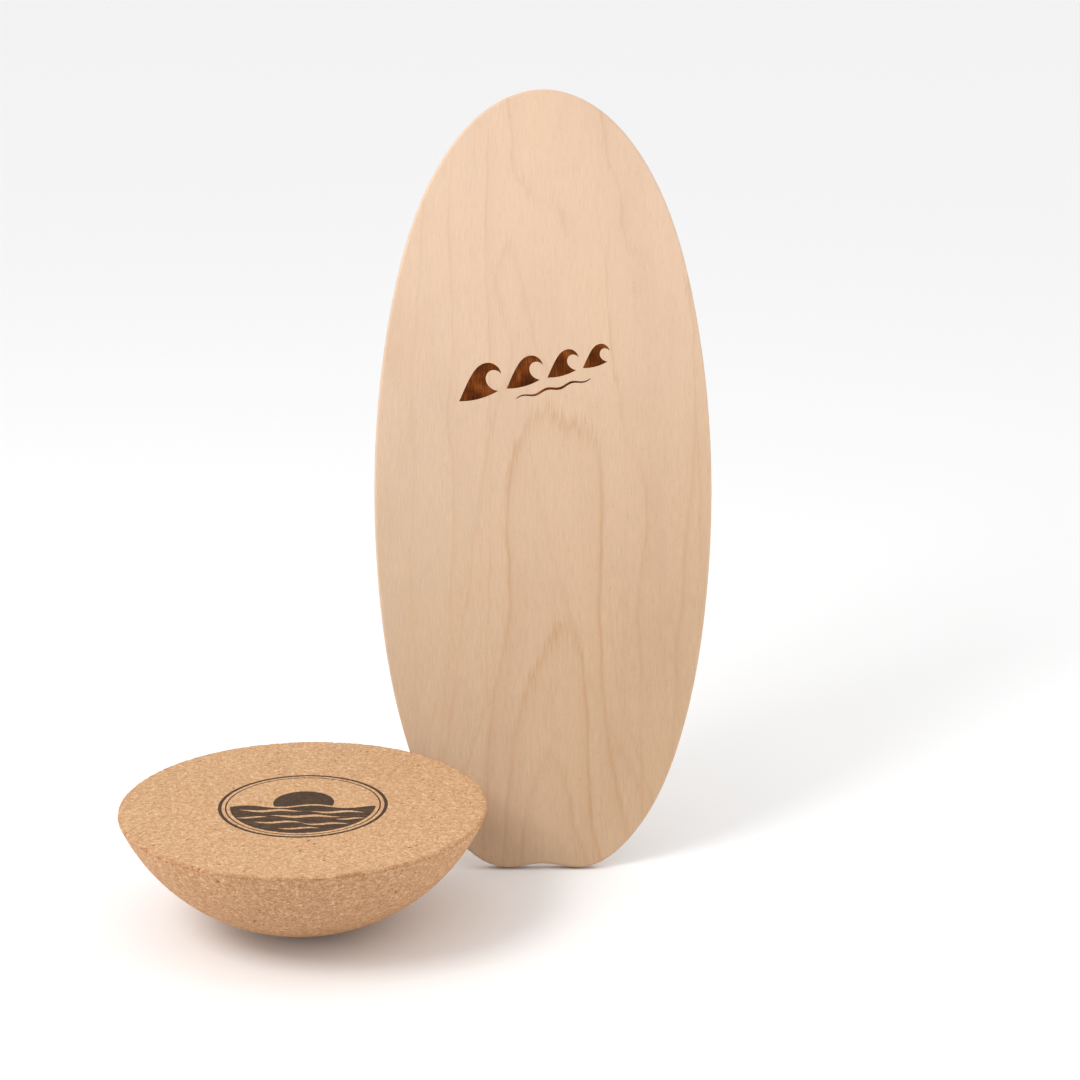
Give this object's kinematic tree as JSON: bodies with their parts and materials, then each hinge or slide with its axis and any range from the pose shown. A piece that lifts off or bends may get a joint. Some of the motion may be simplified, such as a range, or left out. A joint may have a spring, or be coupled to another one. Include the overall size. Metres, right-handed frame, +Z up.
{
  "type": "balance board",
  "caption": "Wooden balance board: a surf-shaped plywood deck and a separate cork half ball that it rocks on.",
  "frame": {"origin": "the point where the half ball's dome touches the floor", "axes": "+Z up; +X to the right of a person who looks at the deck's engraved face; +Y away from that person"},
  "size_m": [0.5722, 0.5348, 0.7491],
  "materials": {
    "cork": "matte",
    "beech_veneer": "matte",
    "beech_long_grain": "matte",
    "beech_cross_grain": "matte"
  },
  "bodies": {
    "half_ball": {"cork_half_ball": "cork"},
    "deck": {"face_veneer": "beech_veneer", "ply_2_cross_grain": "beech_cross_grain", "ply_3_long_grain": "beech_long_grain", "ply_4_cross_grain": "beech_cross_grain", "ply_5_core_long_grain": "beech_long_grain", "ply_6_cross_grain": "beech_cross_grain", "ply_7_long_grain": "beech_long_grain", "ply_8_cross_grain": "beech_cross_grain", "back_veneer": "beech_veneer"}
  },
  "joints": [
    {"name": "deck_set_down", "type": "hinge", "parent": "half_ball", "child": "deck", "pos_m": [0.12208, 0.20559, 0.15385], "axis": [0.8279, -0.4502, -0.3344], "range_deg": [0, 116.83]}
  ]
}
